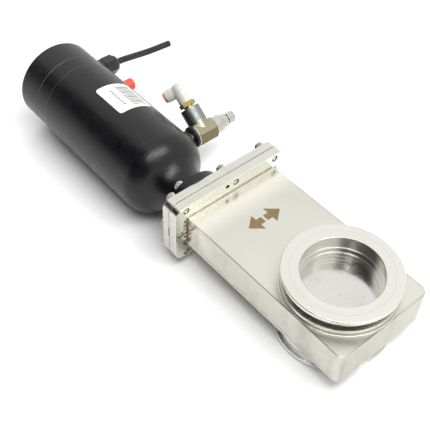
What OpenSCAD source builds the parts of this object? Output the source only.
// Pneumatic slide gate valve with a flanged stainless body and a bottle-shaped air actuator.
// Millimetres. +Z runs along the port axis, -X towards the actuator.
// The origin is the centre of the lower port's sealing face.

/* [Ports] */
// Outside diameter of a port flange
flange_d = 95; // [94:0.5:96]
// Bore of a port
bore_d = 66; // [64:0.5:67]
// Sealing face to sealing face
face_to_face = 66.5; // [66:0.5:70]
// Height of the clamping lip at the flange's outer edge
lip_h = 3; // [2:0.5:4]
// Depth of the clamping groove under the lip
groove_depth = 5; // [3:0.5:6]

/* [Body] */
// Width of the body
body_w = 96.4; // [96:0.2:98]
// Thickness of the body
body_t = 33.2; // [33:0.2:34]
// Closed end of the body, from the port axis
body_front = 48.6; // [48:0.2:52]
// Open end of the body, from the port axis
body_rear = 126.7; // [126.5:0.1:128]
// Side wall thickness
side_wall = 6.2; // [5.6:0.2:6.2]
// Top and bottom wall thickness
flat_wall = 4; // [3.8:0.1:4]
// Radius of the upright corners at the closed end
corner_r = 7; // [4:0.5:9]

/* [Bonnet] */
// Width of both bonnet plates
plate_w = 121.5; // [120:0.5:124]
// Height of both bonnet plates
plate_h = 60; // [60:0.5:62]
// Thickness of the plate welded to the body
body_plate_t = 8.9; // [8.5:0.1:10]
// Thickness of the plate that carries the actuator
bonnet_plate_t = 8.1; // [8:0.1:10]
// Distance of the corner bolts from the middle, across the width
bolt_y = 49.2; // [48:0.2:50]
// Distance of the upper and lower bolts from the middle, over the height
bolt_z = 25.5; // [25:0.1:25.7]
// Distance of the two side bolts from the middle
side_bolt_y = 55.4; // [55:0.1:55.6]

/* [Actuator] */
// Sideways offset of the actuator from the middle of the bonnet
act_y = -23; // [-23.5:0.1:-22.5]
// Outside diameter of the actuator housing
act_d = 82; // [81:0.2:83]
// Outside diameter of the rear head and the end cap
cap_d = 80.6; // [80:0.2:80.8]
// Diameter of the air cylinder's bore
cyl_d = 68; // [66:0.5:68]
// Far end of the end cap, from the port axis
cap_end = 366.4; // [366:0.2:368]
// Seam between the end cap and the rear head
cap_seam = 339; // [338:0.5:340]
// Seam between the rear head and the housing
head_seam = 322.5; // [322:0.1:323]
// Start of the housing's shoulder, from the port axis
shoulder_start = 198; // [197:0.5:199]
// End of the shoulder, where the neck begins
shoulder_end = 160; // [159:0.5:161]
// Diameter of the neck
neck_d = 45; // [44:0.5:46]
// Diameter of the actuator's base flange
base_d = 62; // [61:0.5:62]
// Thickness of the actuator's base flange
base_t = 8; // [7:0.5:8.5]

/* [Motion] */
// Travel of the gate from closed to open
travel = 74; // [70:1:74]
// Distance that each seal plate draws in before the gate travels
plate_lift = 0.8; // [0.4:0.1:0.8]

/* [Air fittings] */
// Front air port, from the port axis
front_port_x = 214.3; // [214:0.1:215]
// Rear air port, from the port axis
rear_port_x = 314.6; // [314:0.1:314.8]
// Angle of the speed control's side leg above the horizontal
leg_angle = 37; // [30:1:45]
// Outside diameter of the air tube that the elbow takes
tube_d = 6; // [6:0.1:6.2]
// Turn of the elbow about the side leg
elbow_turn = -45; // [-90:5:0]

/* [Cable] */
// Cable entry, from the port axis
gland_x = 352.7; // [352:0.1:353]
// Diameter of the signal cable
cable_d = 6.6; // [6.2:0.1:6.6]

/* [Hidden] */
eps = 0.01;
fine = 96;
small = 48;
quarter_turn = [0 : 22.5 : 90];
mid = face_to_face / 2;

// Colours
steel = [0.78, 0.77, 0.74];
polished = [0.84, 0.84, 0.83];
black = [0.07, 0.07, 0.08];
rubber = [0.09, 0.09, 0.09];
nickel = [0.72, 0.69, 0.60];
brass = [0.70, 0.55, 0.28];
aluminium = [0.66, 0.67, 0.69];
bronze = [0.60, 0.42, 0.22];

// Ports and body
flange_r = flange_d / 2;
bore_r = bore_d / 2;
seat_step = 1;
seat_r = bore_r - 2 * seat_step;
spigot_r = bore_r + 4.5;
collar_r = flange_r - 0.7;
collar_h = 5.2;
collar_lip = 2.2;
first_step = 5;
second_step = 0.3;
bevel = 0.4;
body_top = body_t / 2;
cavity_h = body_t - 2 * flat_wall;
cavity_w = body_w - 2 * side_wall;
ceiling = cavity_h / 2;
cavity_front = body_front - side_wall;
cavity_corner = 8;
weld_line = 0.7;
weld_notch = 1.4;

// Bonnet
seam_x = body_rear + body_plate_t;
bonnet_x = seam_x + bonnet_plate_t;
plate_corner = 8;
bolt_r = 2.5;
bolt_hole_r = 2.65;
bolt_head_r = 4.25;
bolt_head_h = 5;
bolt_socket = 4;
thread_mouth = 1.2;
mid_bolt_y = 4.7;
jack_hole_r = 2.1;
seam_half = 0.25;
seam_depth = 0.6;
gasket_gap = 3;
gasket_w = 3;
gasket_t = 1.6;
bolt_places = [
  for (sy = [-1, 1]) for (sz = [-1, 1]) [sy * bolt_y, sz * bolt_z],
  [mid_bolt_y, bolt_z],
  [mid_bolt_y, -bolt_z],
  [-side_bolt_y, 0],
  [side_bolt_y, 0]
];

// Gate train
gate_r = 38.5;
gate_t = 5;
gate_gap = 0.2;
gate_face = ceiling - gate_gap;
seal_pitch_r = 35.5;
seal_section_r = 1.25;
seal_groove_w = 3;
counter_r = 36;
ball_r = 7;
ball_at = 18;
carriage_t = 9;
carriage_r = 34;
crossbar_front = 44;
crossbar_rear = 58;
crossbar_t = 16;
crossbar_w = 72;
pad_w = 5;
rod_r = 6;
rod_front = 47;
rod_fit = 0.05;

// Actuator
act_r = act_d / 2;
cyl_r = cyl_d / 2;
cap_r = cap_d / 2;
neck_r = neck_d / 2;
base_r = base_d / 2;
base_rear = bonnet_x + base_t;
cyl_front = 207;
piston_front = 221;
piston_t = 15;
piston_rear = piston_front + piston_t;
piston_r = cyl_r - 0.3;
carrier_r = 11;
carrier_front = bonnet_x - 4;
carrier_rear = bonnet_x + 14;
bush_r = 9;
bush_front = 178;
bush_rear = 200;
base_screw_at = 26.2;
base_screw_turn = 26;
base_head_r = 4.2;
reed_r = 2.4;
reed_at = 37.6;
reed_angle = 270;
spigot_len = 3.5;
cap_wall = 4;
cap_round = 0.6;
cap_screw_at = 37.1;
cap_screw_r = 1.25;
cap_screw_hole_r = 1.35;
cap_head_r = 2.25;
cap_head_h = 2.5;
cap_chamfer = 0.5;

// Air fittings, measured outwards along +Y from the actuator's flank
flank_y = act_y + act_r;
spot_y = flank_y - 0.8;
adapter_y = spot_y + 6.4;
stud_y = adapter_y + 4.2;
gasket_y = stud_y + 2.4;
washer_y = gasket_y + 1.2;
hex_af = 19.6;
hex_len = 21.5;
hex_y = washer_y + hex_len;
bonnet_r = 8.4;
needle_bonnet_y = hex_y + 16.2;
knob_r = 5.5;
knob_y = needle_bonnet_y + 1.3;
knob_len = 7.3;
stem_r = 3;
leg_r = 9.6;
leg_y = washer_y + 10;
leg_len = 25.5;
elbow_hex = [27.5, 31.5];
elbow_r = 6.8;
socket_r = 5.7;
bend_at = 45.5;
socket_len = 13.4;
collar_at = 7.5;
tube_r = tube_d / 2 + 0.05;

// Cable entry
cap_flank_y = act_y + cap_r;
gland_base_y = cap_flank_y + 6.4;
gland_top_y = gland_base_y + 12;
gland_end_y = gland_top_y + 4.6;
gland_af = 17;
cable_r = cable_d / 2;
cable_path = [
  [-352.7, 35, 33.25], [-352.7, 40, 33.2], [-352.7, 45, 33], [-352.7, 50, 32.5], [-352.7, 55, 31.8],
  [-352.6, 60, 31.1], [-352.6, 65, 30.4], [-352.5, 70, 29.7], [-352.5, 75, 29.1], [-352.4, 80, 28.5],
  [-352.3, 86, 28], [-352.2, 92, 27.7], [-352.1, 98, 27.4], [-352, 103, 27.1], [-351.9, 108, 26.8]
];

// Helpers -----------------------------------------------------------------

// A round bar along X from x0 back to x1 (both given as distances towards the actuator)
module bar_x(x0, x1, r, y = 0, z = 0, sides = fine) {
  translate([-x1, y, mid + z]) rotate([0, 90, 0]) cylinder(h = x1 - x0, r = r, $fn = sides);
}

// A round bar along Y from y0 to y1
module bar_y(x, y0, y1, r, sides = small) {
  translate([-x, y0, mid]) rotate([-90, 0, 0]) cylinder(h = y1 - y0, r = r, $fn = sides);
}

// A hexagonal bar along Y
module hex_y_bar(x, y0, y1, af, turn = 0) {
  translate([-x, y0, mid])
    rotate([-90, 0, 0])
      rotate([0, 0, turn])
        cylinder(h = y1 - y0, r = af / sqrt(3), $fn = 6);
}

// Ring with a square section, along X
module ring_x(x0, x1, r_out, r_in, y = 0) {
  difference() {
    bar_x(x0, x1, r_out, y);
    bar_x(x0 - 1, x1 + 1, r_in, y);
  }
}

// Rectangle with round corners, as an exact outline
module round_rect(w, h, r) {
  square([w - 2 * r, h], center = true);
  square([w, h - 2 * r], center = true);
  for (sx = [-1, 1]) {
    for (sy = [-1, 1]) {
      translate([sx * (w / 2 - r), sy * (h / 2 - r)]) circle(r = r, $fn = small);
    }
  }
}

// Upright slab in the YZ plane, from x0 back to x1
module slab(x0, x1, w, h, r) {
  translate([-x1, 0, mid])
    rotate([90, 0, 90])
      linear_extrude(height = x1 - x0) round_rect(w, h, r);
}

// The eight bonnet bolt places, as bars of radius r
module at_bolts(x0, x1, r, sides = small) {
  for (p = bolt_places) {
    bar_x(x0, x1, r, p[0], p[1], sides);
  }
}

// Moves a child onto the actuator's axis, with its +Z turned to -X from distance x
module on_actuator(x) {
  translate([-x, act_y, mid]) rotate([0, -90, 0]) children();
}

// Axis of the speed control's side leg: the child's +Z runs along the leg
module on_leg() {
  translate([-front_port_x, leg_y, mid]) rotate([0, -90 + leg_angle, 0]) children();
}

// Axis of the elbow's tube socket: the child's +Z runs out of the socket
module on_socket() {
  on_leg()
    translate([0, 0, bend_at])
      rotate([0, 0, elbow_turn])
        rotate([90, 0, 0])
          children();
}

// Wrench recess of a socket-head screw, six-sided, opening towards -X
module socket_recess(x_end, y, z, af, depth) {
  translate([-x_end - 1, y, mid + z])
    rotate([0, 90, 0])
      cylinder(h = depth + 1, r = af / sqrt(3), $fn = 6);
}

// Body and ports ------------------------------------------------------------

// Outline of the body seen from above, with two round corners at the closed end
module body_outline(front, w, r) {
  translate([-body_rear, -w / 2]) square([body_rear + front - r, w]);
  translate([front - r - 1, -w / 2 + r]) square([r + 1, w - 2 * r]);
  for (s = [-1, 1]) {
    translate([front - r, s * (w / 2 - r)]) circle(r = r, $fn = fine);
  }
}

// U-shaped frame that makes the side walls and the closed end
module body_frame() {
  color(steel)
    difference() {
      translate([0, 0, mid - ceiling])
        linear_extrude(height = cavity_h)
          difference() {
            body_outline(body_front, body_w, corner_r);
            body_outline(cavity_front, cavity_w, cavity_corner);
            translate([-body_rear - 1, -cavity_w / 2]) square([2, cavity_w]);
          }
      weld_groove(weld_line, weld_line);
      for (s = [-1, 1]) {
        translate([-body_rear - 1, s * body_w / 2 - weld_notch, mid - ceiling - 1])
          cube([weld_notch + 1, 2 * weld_notch, cavity_h + 2]);
      }
    }
}

// Cover plate welded over the frame, with the hole for its port
module body_cover(z) {
  color(steel)
    difference() {
      translate([0, 0, z]) linear_extrude(height = flat_wall) body_outline(body_front, body_w, corner_r);
      translate([0, 0, z - 1]) cylinder(h = flat_wall + 2, r = spigot_r, $fn = fine);
      weld_groove(weld_line, weld_line);
    }
}

module upper_cover() {
  body_cover(mid + ceiling);
}

module lower_cover() {
  body_cover(mid - body_top);
}

// Shallow groove round the open end, where the body is welded to its plate
module weld_groove(width, depth) {
  translate([-body_rear - 1, 0, mid])
    rotate([90, 0, 90])
      linear_extrude(height = width + 1)
        difference() {
          square([body_w + 2, body_t + 2], center = true);
          square([body_w - 2 * depth, body_t - 2 * depth], center = true);
        }
}

// Profile of one port: radius against height above the valve's middle plane
module port_profile() {
  face = face_to_face / 2;
  groove_r = flange_r - groove_depth;
  collar_top = body_top + collar_h;
  foot_r = collar_r - 1;
  polygon([
    [seat_r, ceiling],
    [spigot_r, ceiling],
    [spigot_r, body_top],
    [foot_r, body_top],
    [foot_r, collar_top - collar_lip - bevel],
    [collar_r, collar_top - collar_lip],
    [collar_r, collar_top],
    [groove_r, collar_top + bevel],
    [groove_r, face - lip_h - bevel],
    [flange_r, face - lip_h],
    [flange_r, face - bevel],
    [flange_r - bevel, face],
    [bore_r + bevel, face],
    [bore_r, face - bevel],
    [bore_r, body_top + first_step],
    [bore_r - seat_step, body_top + first_step],
    [bore_r - seat_step, body_top + second_step],
    [seat_r, body_top + second_step]
  ]);
}

module upper_port_flange() {
  color(polished)
    translate([0, 0, mid]) rotate_extrude($fn = fine) port_profile();
}

module lower_port_flange() {
  color(polished)
    translate([0, 0, mid]) mirror([0, 0, 1]) rotate_extrude($fn = fine) port_profile();
}

// Bonnet ----------------------------------------------------------------------

// Shallow groove round the joint between the two plates
module seam_groove() {
  difference() {
    slab(seam_x - seam_half, seam_x + seam_half, plate_w + 2, plate_h + 2, plate_corner);
    slab(seam_x - 1, seam_x + 1, plate_w - 2 * seam_depth, plate_h - 2 * seam_depth,
         plate_corner - seam_depth);
  }
}

module body_plate() {
  color(steel)
    difference() {
      slab(body_rear, seam_x, plate_w, plate_h, plate_corner);
      slab(body_rear - 1, seam_x + 1, cavity_w, cavity_h, cavity_corner);
      at_bolts(body_rear - 1, seam_x + 1, bolt_r);
      at_bolts(body_rear - 1, body_rear + thread_mouth, bolt_r + 0.6);
      for (sz = [-1, 1]) {
        bar_x(body_rear - 1, seam_x + 1, jack_hole_r, -mid_bolt_y, sz * bolt_z);
      }
      seam_groove();
    }
}

// Narrow slot in the seam at both ends, for prising the plates apart
module pry_slots() {
  slot_h = 11;
  slot_d = 1.6;
  slot_t = 1.1;
  for (s = [-1, 1]) {
    translate([-seam_x - slot_t, s * plate_w / 2 - slot_d, mid - slot_h / 2])
      cube([slot_t + eps, 2 * slot_d, slot_h]);
  }
}

module bonnet_plate() {
  color(steel)
    difference() {
      slab(seam_x, bonnet_x, plate_w, plate_h, plate_corner);
      at_bolts(seam_x - 1, bonnet_x + 1, bolt_hole_r);
      slab(seam_x - 1, seam_x + gasket_t,
           cavity_w + 2 * (gasket_gap + gasket_w), cavity_h + 2 * (gasket_gap + gasket_w),
           cavity_corner + gasket_gap + gasket_w);
      bar_x(seam_x - 1, bonnet_x + 1, rod_r + rod_fit, act_y);
      bar_x(carrier_front, bonnet_x + 1, carrier_r, act_y);
      for (a = [0 : 90 : 270]) {
        base_screw_bar(a, seam_x + 3, bonnet_x + 1, bolt_r);
      }
      pry_slots();
      seam_groove();
    }
  // The land inside the gasket groove, flush with the plate's face
  color(steel)
    difference() {
      slab(seam_x, seam_x + gasket_t, cavity_w + 2 * gasket_gap, cavity_h + 2 * gasket_gap,
           cavity_corner + gasket_gap);
      bar_x(seam_x - 1, bonnet_x + 1, rod_r + rod_fit, act_y);
    }
}

module bonnet_gasket() {
  color(rubber)
    difference() {
      slab(seam_x, seam_x + gasket_t,
           cavity_w + 2 * (gasket_gap + gasket_w), cavity_h + 2 * (gasket_gap + gasket_w),
           cavity_corner + gasket_gap + gasket_w);
      slab(seam_x - 1, seam_x + gasket_t + 1,
           cavity_w + 2 * gasket_gap, cavity_h + 2 * gasket_gap, cavity_corner + gasket_gap);
    }
}

module bonnet_bolts() {
  color(polished)
    difference() {
      union() {
        at_bolts(body_rear + 0.2, bonnet_x, bolt_r - 0.4);
        at_bolts(body_rear + thread_mouth, bonnet_x, bolt_r);
        at_bolts(bonnet_x, bonnet_x + bolt_head_h, bolt_head_r);
      }
      for (p = bolt_places) {
        socket_recess(bonnet_x + bolt_head_h, p[0], p[1], bolt_socket, 2.6);
      }
    }
}

// Gate train --------------------------------------------------------------------

// Four places under the seal plates where the detent balls sit
module at_balls() {
  for (sx = [-1, 1]) {
    for (sy = [-1, 1]) {
      translate([sx * ball_at, sy * ball_at, mid]) children();
    }
  }
}

module ring_torus(pitch_r, section_r) {
  rotate_extrude($fn = fine) translate([pitch_r, 0]) circle(r = section_r, $fn = small);
}

module gate_plate() {
  color(polished)
    difference() {
      translate([0, 0, mid + gate_face - gate_t]) cylinder(h = gate_t, r = gate_r, $fn = fine);
      translate([0, 0, mid + gate_face - 2.4])
        difference() {
          cylinder(h = 3, r = seal_pitch_r + seal_groove_w / 2, $fn = fine);
          translate([0, 0, -1]) cylinder(h = 5, r = seal_pitch_r - seal_groove_w / 2, $fn = fine);
        }
      translate([0, 0, plate_lift]) at_balls() sphere(r = ball_r + 0.3, $fn = small);
    }
}

module gate_seal() {
  color(rubber)
    translate([0, 0, mid + ceiling - 0.1 - seal_section_r]) ring_torus(seal_pitch_r, seal_section_r);
}

module counter_plate() {
  color(polished)
    difference() {
      translate([0, 0, mid - gate_face]) cylinder(h = gate_t, r = counter_r, $fn = fine);
      translate([0, 0, -plate_lift]) at_balls() sphere(r = ball_r + 0.3, $fn = small);
    }
}

module carriage() {
  color(steel)
    difference() {
      union() {
        translate([0, 0, mid - carriage_t / 2]) cylinder(h = carriage_t, r = carriage_r, $fn = fine);
        translate([-crossbar_front - 1, -carriage_r * 0.7, mid - carriage_t / 2])
          cube([crossbar_front, carriage_r * 1.4, carriage_t]);
        translate([-crossbar_rear, -crossbar_w / 2, mid - crossbar_t / 2])
          cube([crossbar_rear - crossbar_front, crossbar_w, crossbar_t]);
      }
      at_balls() translate([0, 0, -carriage_t]) cylinder(h = 2 * carriage_t, r = ball_r + 0.1, $fn = small);
      bar_x(rod_front, crossbar_rear + 1, rod_r, act_y);
    }
}

module carriage_pads() {
  pad_l = 10;
  pad_h = 8;
  color([0.92, 0.92, 0.90])
    for (s = [-1, 1]) {
      translate([-crossbar_rear + 2, s * (crossbar_w / 2 + pad_w / 2) - pad_w / 2, mid - pad_h / 2])
        cube([pad_l, pad_w, pad_h]);
    }
}

module detent_balls() {
  color(polished) at_balls() sphere(r = ball_r, $fn = small);
}

// Two flat springs over and two under the carriage, which draw the plates together
module leaf_springs() {
  spring_t = 0.6;
  spring_w = 6;
  spring_l = 50;
  gap = 0.6;
  color(polished)
    for (sy = [-1, 1]) {
      for (up = [0, 1]) {
        translate([-spring_l / 2, sy * 5 - spring_w / 2,
                   mid + (up == 1 ? carriage_t / 2 + gap : -carriage_t / 2 - gap - spring_t)])
          cube([spring_l, spring_w, spring_t]);
        translate([-spring_l / 2, sy * 5 - spring_w / 2,
                   mid + (up == 1 ? carriage_t / 2 : -carriage_t / 2 - gap)])
          cube([6, spring_w, gap]);
      }
    }
}

module piston_rod() {
  nose_r = 4;
  color(polished)
    union() {
      bar_x(rod_front, piston_front, rod_r, act_y);
      bar_x(piston_front, piston_rear + 8, nose_r, act_y);
    }
}

// Shaft feedthrough ------------------------------------------------------------

module shaft_seal_carrier() {
  groove_d = 2;
  color(bronze)
    difference() {
      bar_x(carrier_front, carrier_rear, carrier_r, act_y);
      bar_x(carrier_front - 1, carrier_rear + 1, rod_r + rod_fit, act_y);
      for (x = [carrier_front + 4, carrier_front + 10]) {
        bar_x(x, x + 2.6, rod_r + groove_d, act_y);
      }
    }
}

module shaft_seals() {
  color(rubber)
    for (x = [carrier_front + 4, carrier_front + 10]) {
      ring_x(x, x + 2.6, rod_r + 2, rod_r + rod_fit, act_y);
    }
}

// Actuator -------------------------------------------------------------------------

// Outside of the housing: radius against distance back from the bonnet plate.
// The shoulder is an ogee made of two equal arcs.
module housing_profile() {
  run = shoulder_start - shoulder_end;
  drop = act_r - neck_r;
  arc_r = (run * run + drop * drop) / (4 * drop);
  steep = asin(run / (2 * arc_r));
  steps = 8;
  s0 = shoulder_start - bonnet_x;
  s1 = shoulder_end - bonnet_x;
  fillet = 3;
  polygon(concat(
    [[0, 0], [base_r, 0], [base_r, base_t]],
    [for (a = quarter_turn) [neck_r + fillet - fillet * sin(a), base_t + fillet - fillet * cos(a)]],
    [for (i = [0 : steps])
      let (a = steep * i / steps)
      [neck_r + arc_r - arc_r * cos(a), s1 + arc_r * sin(a)]],
    [for (i = [steps - 1 : -1 : 0])
      let (a = steep * i / steps)
      [act_r - arc_r + arc_r * cos(a), s0 - arc_r * sin(a)]],
    [[act_r, head_seam - bonnet_x - 0.4], [act_r - 0.4, head_seam - bonnet_x], [0, head_seam - bonnet_x]]
  ));
}

// A bar parallel to the actuator's axis, at the base screws' pitch circle
module base_screw_bar(angle, x0, x1, r, sides = small) {
  a = base_screw_turn + angle;
  bar_x(x0, x1, r, act_y + base_screw_at * sin(a) * -1, base_screw_at * cos(a), sides);
}

module actuator_housing() {
  color(black)
    difference() {
      on_actuator(bonnet_x) rotate_extrude($fn = fine) housing_profile();
      bar_x(cyl_front, head_seam + 1, cyl_r, act_y);
      bar_x(bonnet_x - 1, carrier_rear, carrier_r, act_y);
      bar_x(bonnet_x, cyl_front + 1, rod_r + 0.6, act_y);
      bar_x(bush_front, cyl_front + 1, bush_r, act_y);
      for (a = [0 : 90 : 270]) {
        base_screw_bar(a, bonnet_x - 1, base_rear + 1, bolt_hole_r);
        base_screw_bar(a, base_rear, base_rear + bolt_head_h + 1.5, base_head_r + 0.8);
      }
      // Relief for the side bolt's head
      bar_x(bonnet_x - 1, base_rear + 1, bolt_head_r + 0.6, -side_bolt_y);
      bar_y(front_port_x, act_y + cyl_r - 2, flank_y + 1, 5);
      bar_y(front_port_x, spot_y, flank_y + 2, 9.6);
      bar_y(rear_port_x, act_y + cyl_r - 2, flank_y + 1, 4.6);
      bar_y(rear_port_x, spot_y, flank_y + 2, 7);
      reed_bar(cyl_front + 3, head_seam + 1);
      for (a = [0 : 90 : 270]) {
        cap_screw_bar(a, head_seam - 12, head_seam + 1, cap_screw_r);
      }
    }
}

// The long hole in the housing wall that holds the reed switches
module reed_bar(x0, x1) {
  bar_x(x0, x1, reed_r, act_y + reed_at * cos(reed_angle), reed_at * sin(reed_angle));
}

module base_screws() {
  color(polished)
    difference() {
      union() {
        for (a = [0 : 90 : 270]) {
          base_screw_bar(a, seam_x + 4, base_rear, bolt_r);
          base_screw_bar(a, base_rear, base_rear + bolt_head_h, base_head_r);
        }
      }
      for (a = [0 : 90 : 270]) {
        base_screw_bar(a, base_rear + bolt_head_h - 2.6, base_rear + bolt_head_h + 1,
                       bolt_socket / sqrt(3), 6);
      }
    }
}

module rod_bushing() {
  color(bronze) ring_x(bush_front, bush_rear, bush_r, rod_r + rod_fit, act_y);
}

module rod_seal() {
  color(rubber) ring_x(bush_rear, cyl_front - 0.5, bush_r, rod_r + rod_fit, act_y);
}

module piston() {
  color(aluminium)
    difference() {
      bar_x(piston_front, piston_rear, piston_r, act_y);
      bar_x(piston_front - 1, piston_rear + 1, 4, act_y);
      ring_x(piston_front + 2.5, piston_front + 5.5, piston_r + 1, piston_r - 3, act_y);
      ring_x(piston_front + 8.5, piston_front + 12, piston_r + 1, piston_r - 4, act_y);
      bar_x(piston_rear - 1, piston_rear + 1, 12, act_y);
    }
}

module piston_seal() {
  color(rubber) ring_x(piston_front + 2.5, piston_front + 5.5, cyl_r - 0.05, piston_r - 3, act_y);
}

module piston_magnet() {
  color([0.25, 0.25, 0.27])
    ring_x(piston_front + 8.5, piston_front + 12, piston_r - 0.2, piston_r - 4, act_y);
}

module piston_nut() {
  color(polished)
    difference() {
      bar_x(piston_rear - 1, piston_rear + 5, 13 / sqrt(3), act_y, 0, 6);
      bar_x(piston_rear - 2, piston_rear + 6, 4, act_y);
    }
}

module reed_switch_tube() {
  color([0.2, 0.2, 0.22]) reed_bar(cyl_front + 4, head_seam);
}

// A bar parallel to the actuator's axis, at the end cap screws' pitch circle
module cap_screw_bar(angle, x0, x1, r, sides = small) {
  a = 45 + angle;
  bar_x(x0, x1, r, act_y + cap_screw_at * cos(a), cap_screw_at * sin(a), sides);
}

module rear_head() {
  color(black)
    difference() {
      union() {
        on_actuator(head_seam)
          rotate_extrude($fn = fine)
            polygon([
              [0, 0], [cap_r - cap_chamfer, 0], [cap_r, cap_chamfer],
              [cap_r, cap_seam - head_seam - cap_chamfer], [cap_r - cap_chamfer, cap_seam - head_seam],
              [0, cap_seam - head_seam]
            ]);
        bar_x(head_seam - spigot_len, head_seam, cyl_r - 0.1, act_y);
      }
      bar_x(head_seam - spigot_len - 1, head_seam + 6, 12, act_y);
      for (a = [0 : 90 : 270]) {
        cap_screw_bar(a, head_seam - 1, cap_seam + 1, cap_screw_hole_r);
      }
      ring_x(head_seam - 1, head_seam + 1.2, cyl_r + 1.7, cyl_r + 0.1, act_y);
      bar_x(head_seam - 1, cap_seam + 1, 2, act_y + reed_at * cos(reed_angle), reed_at * sin(reed_angle));
    }
}

module rear_head_seal() {
  color(rubber) ring_x(head_seam, head_seam + 1.2, cyl_r + 1.7, cyl_r + 0.1, act_y);
}

// Outside of the end cap, with a rounded edge at the closed end
module cap_profile() {
  cap_len = cap_end - cap_seam;
  polygon(concat(
    [[0, 0], [cap_r - cap_chamfer, 0], [cap_r, cap_chamfer]],
    [for (a = quarter_turn) [cap_r - cap_round + cap_round * cos(a), cap_len - cap_round + cap_round * sin(a)]],
    [[0, cap_len]]
  ));
}

module end_cap() {
  boss_r = 4.2;
  color(black)
    difference() {
      on_actuator(cap_seam) rotate_extrude($fn = fine) cap_profile();
      difference() {
        bar_x(cap_seam - 1, cap_end - cap_wall, cap_r - cap_wall, act_y);
        for (a = [0 : 90 : 270]) {
          cap_screw_bar(a, cap_seam - 2, cap_end, boss_r);
        }
      }
      for (a = [0 : 90 : 270]) {
        cap_screw_bar(a, cap_seam - 1, cap_end + 1, cap_screw_hole_r);
        cap_screw_bar(a, cap_end - cap_head_h, cap_end + 1, cap_head_r + 0.15);
      }
      bar_y(gland_x, cap_flank_y - cap_wall - 6, cap_flank_y + 1, 6.3);
      bar_y(gland_x, cap_flank_y - 0.8, cap_flank_y + 2, 10.4);
    }
}

module cap_screws() {
  cap_socket_r = 1.15;
  color(polished)
    difference() {
      union() {
        for (a = [0 : 90 : 270]) {
          cap_screw_bar(a, head_seam - 11, cap_end - cap_head_h, cap_screw_r);
          cap_screw_bar(a, cap_end - cap_head_h, cap_end - 0.1, cap_head_r);
        }
      }
      for (a = [0 : 90 : 270]) {
        cap_screw_bar(a, cap_end - 1.4, cap_end + 1, cap_socket_r, 6);
      }
    }
}

module terminal_block() {
  block = [14, 30, 12];
  way = 5;
  color([0.18, 0.42, 0.25])
    difference() {
      translate([-cap_seam - block[0], act_y - block[1] / 2, mid - 20]) cube(block);
      for (i = [-2 : 2]) {
        translate([-cap_seam - block[0] / 2, act_y + i * way, mid - 20 + block[2] - 5])
          cylinder(h = 6, r = 1.8, $fn = small);
      }
    }
}

// Cable entry ----------------------------------------------------------------------

module gland_body() {
  color(black)
    difference() {
      union() {
        hex_y_bar(gland_x, cap_flank_y - 0.8, gland_base_y, gland_af);
        bar_y(gland_x, cap_flank_y - 9, cap_flank_y, 6.2);
        bar_y(gland_x, gland_base_y, gland_base_y + 6, 6.6);
      }
      bar_y(gland_x, cap_flank_y - 10, gland_base_y + 7, 4.6);
    }
}

module gland_seal() {
  color(rubber)
    difference() {
      bar_y(gland_x, gland_base_y - 4, gland_base_y + 9, 4.55);
      bar_y(gland_x, gland_base_y - 5, gland_base_y + 10, cable_r + 0.05);
    }
}

// Dome-shaped clamping nut
module gland_nut() {
  dome = gland_end_y - gland_top_y;
  af_r = gland_af / 2 + 0.3;
  color(black)
    difference() {
      union() {
        hex_y_bar(gland_x, gland_base_y + 0.4, gland_top_y, gland_af + 0.8);
        translate([-gland_x, gland_top_y, mid])
          rotate([-90, 0, 0])
            rotate_extrude($fn = fine)
              polygon(concat(
                [[0, 0]],
                [for (i = [0 : 6]) [af_r - dome + dome * cos(i * 15), dome * sin(i * 15)]],
                [[0, dome]]
              ));
      }
      bar_y(gland_x, gland_base_y, gland_base_y + 9.5, 6.7);
      bar_y(gland_x, gland_base_y, gland_end_y + 1, cable_r + 0.3);
    }
}

// One tube swept along the cable's route
function unit(v) = v / norm(v);
function path_dir(p, i) = unit(p[min(i + 1, len(p) - 1)] - p[max(i - 1, 0)]);
function ring_points(p, i, r, n) =
  let (
    d = path_dir(p, i),
    side = unit(cross(d, [0, 0, 1])),
    up = cross(side, d)
  )
  [for (k = [0 : n - 1]) p[i] + r * (cos(360 * k / n) * side + sin(360 * k / n) * up)];

module swept_tube(p, r, n) {
  rings = len(p);
  points = [for (i = [0 : rings - 1]) each ring_points(p, i, r, n)];
  sides = [
    for (i = [0 : rings - 2])
      for (k = [0 : n - 1])
        [i * n + k, i * n + (k + 1) % n, (i + 1) * n + (k + 1) % n, (i + 1) * n + k]
  ];
  near_end = [for (k = [n - 1 : -1 : 0]) k];
  far_end = [for (k = [0 : n - 1]) (rings - 1) * n + k];
  polyhedron(points = points, faces = concat(sides, [near_end, far_end]));
}

module signal_cable() {
  color(black) swept_tube(cable_path, cable_r, 12);
}

// Air fittings -----------------------------------------------------------------------

module rear_port_plug() {
  color([0.85, 0.18, 0.10])
    union() {
      bar_y(rear_port_x, act_y + cyl_r - 1, spot_y, 4.5);
      translate([-rear_port_x, spot_y, mid])
        rotate([-90, 0, 0])
          rotate_extrude($fn = fine)
            polygon([[0, 0], [6.8, 0], [6.8, 1.2], [5.4, 1.2], [6, 14.4], [5, 15.4], [0, 15.4]]);
    }
}

module air_port_adapter() {
  color(black)
    difference() {
      union() {
        bar_y(front_port_x, act_y + cyl_r, spot_y, 4.95);
        hex_y_bar(front_port_x, spot_y, adapter_y, 16);
      }
      bar_y(front_port_x, act_y + cyl_r - 1, adapter_y + 1, 3);
    }
}

module adapter_gasket() {
  color(rubber)
    difference() {
      bar_y(front_port_x, stud_y, gasket_y, 10.4, fine);
      bar_y(front_port_x, stud_y - 1, gasket_y + 1, 5.8);
    }
}

module seal_washer() {
  color(polished)
    difference() {
      bar_y(front_port_x, gasket_y, washer_y, 10.6, fine);
      bar_y(front_port_x, gasket_y - 1, washer_y + 1, 5.8);
    }
}

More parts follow.
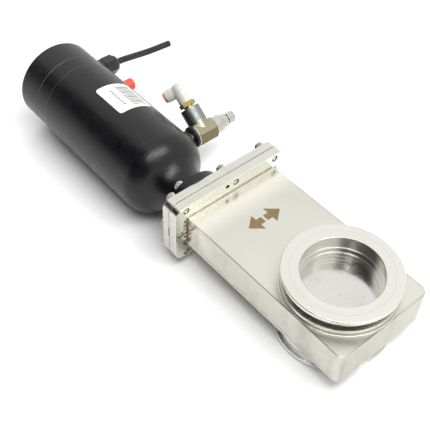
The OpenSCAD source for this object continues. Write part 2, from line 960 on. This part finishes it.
// Six-sided body with its mounting stud, and the round side leg that takes the elbow
module speed_control_body() {
  hex_chamfer = 1.4;
  color(nickel)
    difference() {
      union() {
        intersection() {
          hex_y_bar(front_port_x, washer_y, hex_y, hex_af, 19);
          translate([-front_port_x, washer_y, mid])
            rotate([-90, 0, 0])
              cylinder(h = hex_len, r1 = hex_af / sqrt(3) + hex_len - hex_chamfer,
                       r2 = hex_af / sqrt(3) - hex_chamfer, $fn = fine);
        }
        bar_y(front_port_x, adapter_y, washer_y, 5.7);
        on_leg() cylinder(h = leg_len, r = leg_r, $fn = fine);
      }
      bar_y(front_port_x, adapter_y - 1, washer_y + 2, 3);
      bar_y(front_port_x, washer_y + 1, hex_y + 1, 4);
      bar_y(front_port_x, hex_y - 4, hex_y + 1, 6.5);
      on_leg() cylinder(h = leg_len + 1, r = 2.5, $fn = small);
      on_leg() translate([0, 0, leg_len - 9]) cylinder(h = 10, r = 5, $fn = small);
    }
}

module needle_bonnet() {
  color(polished)
    difference() {
      union() {
        bar_y(front_port_x, hex_y - 4, hex_y, 6.45);
        translate([-front_port_x, hex_y, mid])
          rotate([-90, 0, 0])
            rotate_extrude($fn = fine)
              polygon([
                [0, 0], [bonnet_r - 0.6, 0], [bonnet_r, 0.6], [bonnet_r, 9.4], [bonnet_r - 0.8, 10.2],
                [bonnet_r - 1.6, 10.2], [bonnet_r - 1.6, 15.6], [bonnet_r - 2.2, 16.2], [0, 16.2]
              ]);
      }
      bar_y(front_port_x, hex_y - 5, needle_bonnet_y + 1, stem_r + 0.05);
      bar_y(front_port_x, needle_bonnet_y - 6, needle_bonnet_y + 1, stem_r + 1.5);
    }
}

// The seal travels with the needle but does not turn
module needle_seal() {
  color(rubber)
    difference() {
      bar_y(front_port_x, needle_bonnet_y - 3.5, needle_bonnet_y - 1.5, stem_r + 1.4);
      bar_y(front_port_x, needle_bonnet_y - 4, needle_bonnet_y - 1, stem_r + 0.05);
    }
}

module needle_screw() {
  needle_tip = 1;
  flutes = 20;
  color(polished)
    union() {
      bar_y(front_port_x, washer_y + 8, knob_y + eps, stem_r);
      translate([-front_port_x, washer_y + 2, mid])
        rotate([-90, 0, 0])
          cylinder(h = 6, r1 = needle_tip, r2 = stem_r, $fn = small);
      difference() {
        bar_y(front_port_x, knob_y, knob_y + knob_len, knob_r, fine);
        for (i = [0 : flutes - 1]) {
          rotate_about_needle(i * 360 / flutes)
            translate([knob_r + 0.15, 0, 1]) cylinder(h = knob_len - 2, r = 0.45, $fn = 16);
        }
      }
    }
}

// Frame on the needle's axis, +Z outwards, turned by an angle
module rotate_about_needle(angle) {
  translate([-front_port_x, knob_y, mid]) rotate([-90, 0, 0]) rotate([0, 0, angle]) children();
}

module elbow_stud() {
  color(brass)
    on_leg()
      difference() {
        union() {
          translate([0, 0, leg_len - 8]) cylinder(h = elbow_hex[0] - leg_len + 8, r = 4.9, $fn = small);
          translate([0, 0, elbow_hex[0]])
            cylinder(h = elbow_hex[1] - elbow_hex[0], r = 14 / sqrt(3), $fn = 6);
          translate([0, 0, elbow_hex[1]]) cylinder(h = 6, r = 3.4, $fn = small);
        }
        translate([0, 0, leg_len - 9]) cylinder(h = 30, r = 2, $fn = small);
      }
}

module elbow_body() {
  color([0.93, 0.93, 0.92])
    difference() {
      union() {
        on_leg()
          translate([0, 0, elbow_hex[1] + 0.1])
            cylinder(h = bend_at - elbow_hex[1] - 0.1, r = elbow_r, $fn = small);
        on_leg() translate([0, 0, bend_at]) sphere(r = elbow_r + 0.3, $fn = small);
        on_socket() cylinder(h = socket_len, r = socket_r, $fn = small);
        on_socket()
          translate([0, 0, collar_at])
            cylinder(h = socket_len - collar_at, r = socket_r + 0.5, $fn = small);
      }
      on_leg() translate([0, 0, elbow_hex[1] - 1]) cylinder(h = 7.5, r = 3.45, $fn = small);
      on_leg() translate([0, 0, elbow_hex[1]]) cylinder(h = bend_at - elbow_hex[1], r = 2, $fn = small);
      on_socket() cylinder(h = socket_len, r = 2, $fn = small);
      on_socket() translate([0, 0, 1]) cylinder(h = socket_len, r = tube_r + 0.05, $fn = small);
      on_socket() translate([0, 0, 6]) cylinder(h = socket_len, r = 4.75, $fn = small);
    }
}

module tube_seal() {
  color(rubber)
    on_socket()
      difference() {
        translate([0, 0, 6.1]) cylinder(h = 1.8, r = 4.7, $fn = small);
        cylinder(h = 10, r = tube_r, $fn = small);
      }
}

module grip_ring() {
  color(polished)
    on_socket()
      difference() {
        translate([0, 0, 8.3]) cylinder(h = 0.6, r = 4.7, $fn = small);
        cylinder(h = 10, r = tube_r + 0.3, $fn = small);
      }
}

module release_ring() {
  color([0.90, 0.35, 0.12])
    on_socket()
      difference() {
        union() {
          translate([0, 0, 10.6]) cylinder(h = 4.6, r = 4.65, $fn = small);
          translate([0, 0, socket_len + 1.4]) cylinder(h = 1.2, r = 5.3, $fn = small);
        }
        cylinder(h = 20, r = tube_r, $fn = small);
      }
}

// Label ---------------------------------------------------------------------------------

// A paper label wrapped round the upper flank of the housing
module asset_label() {
  label_t = 0.15;
  label_x = 243;
  label_len = 41;
  label_from = -10;
  label_span = 52;
  color([0.95, 0.95, 0.93])
    on_actuator(label_x)
      rotate([0, 0, label_from])
        rotate_extrude(angle = label_span, $fn = fine)
          translate([act_r + 0.02, 0]) square([label_t, label_len]);
}

body_frame();
upper_cover();
lower_cover();
upper_port_flange();
lower_port_flange();
body_plate();
bonnet_plate();
bonnet_gasket();
bonnet_bolts();
gate_plate();
gate_seal();
counter_plate();
carriage();
carriage_pads();
detent_balls();
leaf_springs();
piston_rod();
shaft_seal_carrier();
shaft_seals();
actuator_housing();
base_screws();
rod_bushing();
rod_seal();
piston();
piston_seal();
piston_magnet();
piston_nut();
reed_switch_tube();
rear_head();
rear_head_seal();
end_cap();
cap_screws();
terminal_block();
gland_body();
gland_seal();
gland_nut();
signal_cable();
rear_port_plug();
air_port_adapter();
adapter_gasket();
seal_washer();
speed_control_body();
needle_bonnet();
needle_seal();
needle_screw();
elbow_stud();
elbow_body();
tube_seal();
grip_ring();
release_ring();
asset_label();
